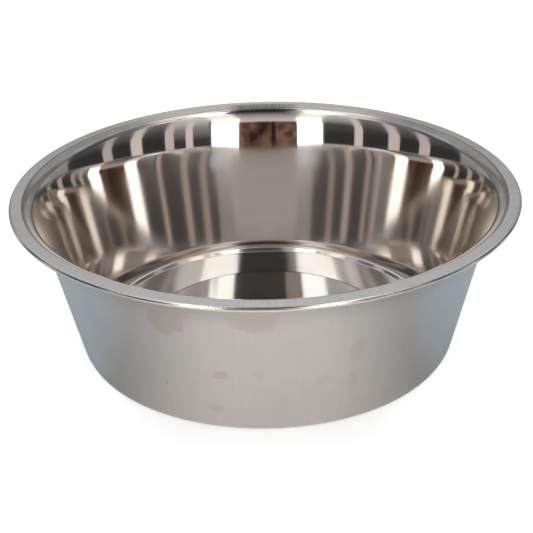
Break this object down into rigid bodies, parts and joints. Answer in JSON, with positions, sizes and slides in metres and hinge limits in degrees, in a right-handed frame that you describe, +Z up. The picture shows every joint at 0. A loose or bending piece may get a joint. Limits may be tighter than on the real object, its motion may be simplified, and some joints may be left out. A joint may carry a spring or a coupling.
{
  "type": "feeding bowl",
  "caption": "Round pet feeding bowl pressed from thin stainless sheet, with a flat flange, a curled edge, a tapered wall that flares towards the rim and a bonded rubber ring under the base.",
  "frame": {"origin": "where the bowl's axis meets the surface that the bowl stands on", "axes": "+Z up along the bowl's axis, through the mouth; the bowl is round, so X and Y are free"},
  "size_m": [0.28, 0.28, 0.0913],
  "materials": {
    "stainless_steel": "mirror polished inside and on the curled edge, satin outside and on the flange",
    "rubber": "matt moulded rubber"
  },
  "bodies": {
    "root": {"bowl_pressing": "stainless_steel", "non_slip_ring": "rubber"}
  },
  "joints": []
}
